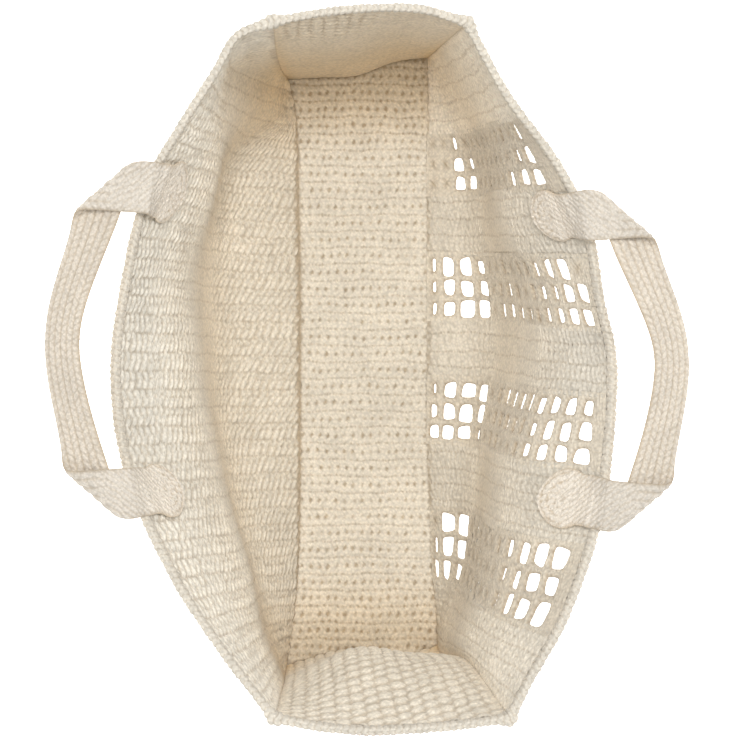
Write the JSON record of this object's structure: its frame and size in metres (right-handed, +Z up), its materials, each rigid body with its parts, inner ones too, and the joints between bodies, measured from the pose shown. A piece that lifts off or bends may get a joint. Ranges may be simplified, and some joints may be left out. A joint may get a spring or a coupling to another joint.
{
  "type": "crochet shopper bag",
  "caption": "Open crochet shopper bag with a flat rectangular base, flared walls, pierced bands of mesh on one long side and flat straps sewn inside the rim.",
  "frame": {"origin": "middle of the base's underside, on the surface that the bag stands on", "axes": "+X along the bag's length, -Y towards the pierced long side, +Z up out of the mouth"},
  "size_m": [0.4996, 0.4508, 0.269],
  "materials": {
    "crochet_cloth": "undyed cotton yarn in tight crochet stitches, matt",
    "crochet_strap": "undyed cotton yarn in lengthwise crochet ribs, matt"
  },
  "bodies": {
    "root": {"base_panel": "crochet_cloth", "back_panel": "crochet_cloth", "front_panel": "crochet_cloth", "end_panel_right": "crochet_cloth", "end_panel_left": "crochet_cloth", "rim_edging": "crochet_cloth", "handle_back": "crochet_strap", "handle_front": "crochet_strap"}
  },
  "joints": []
}
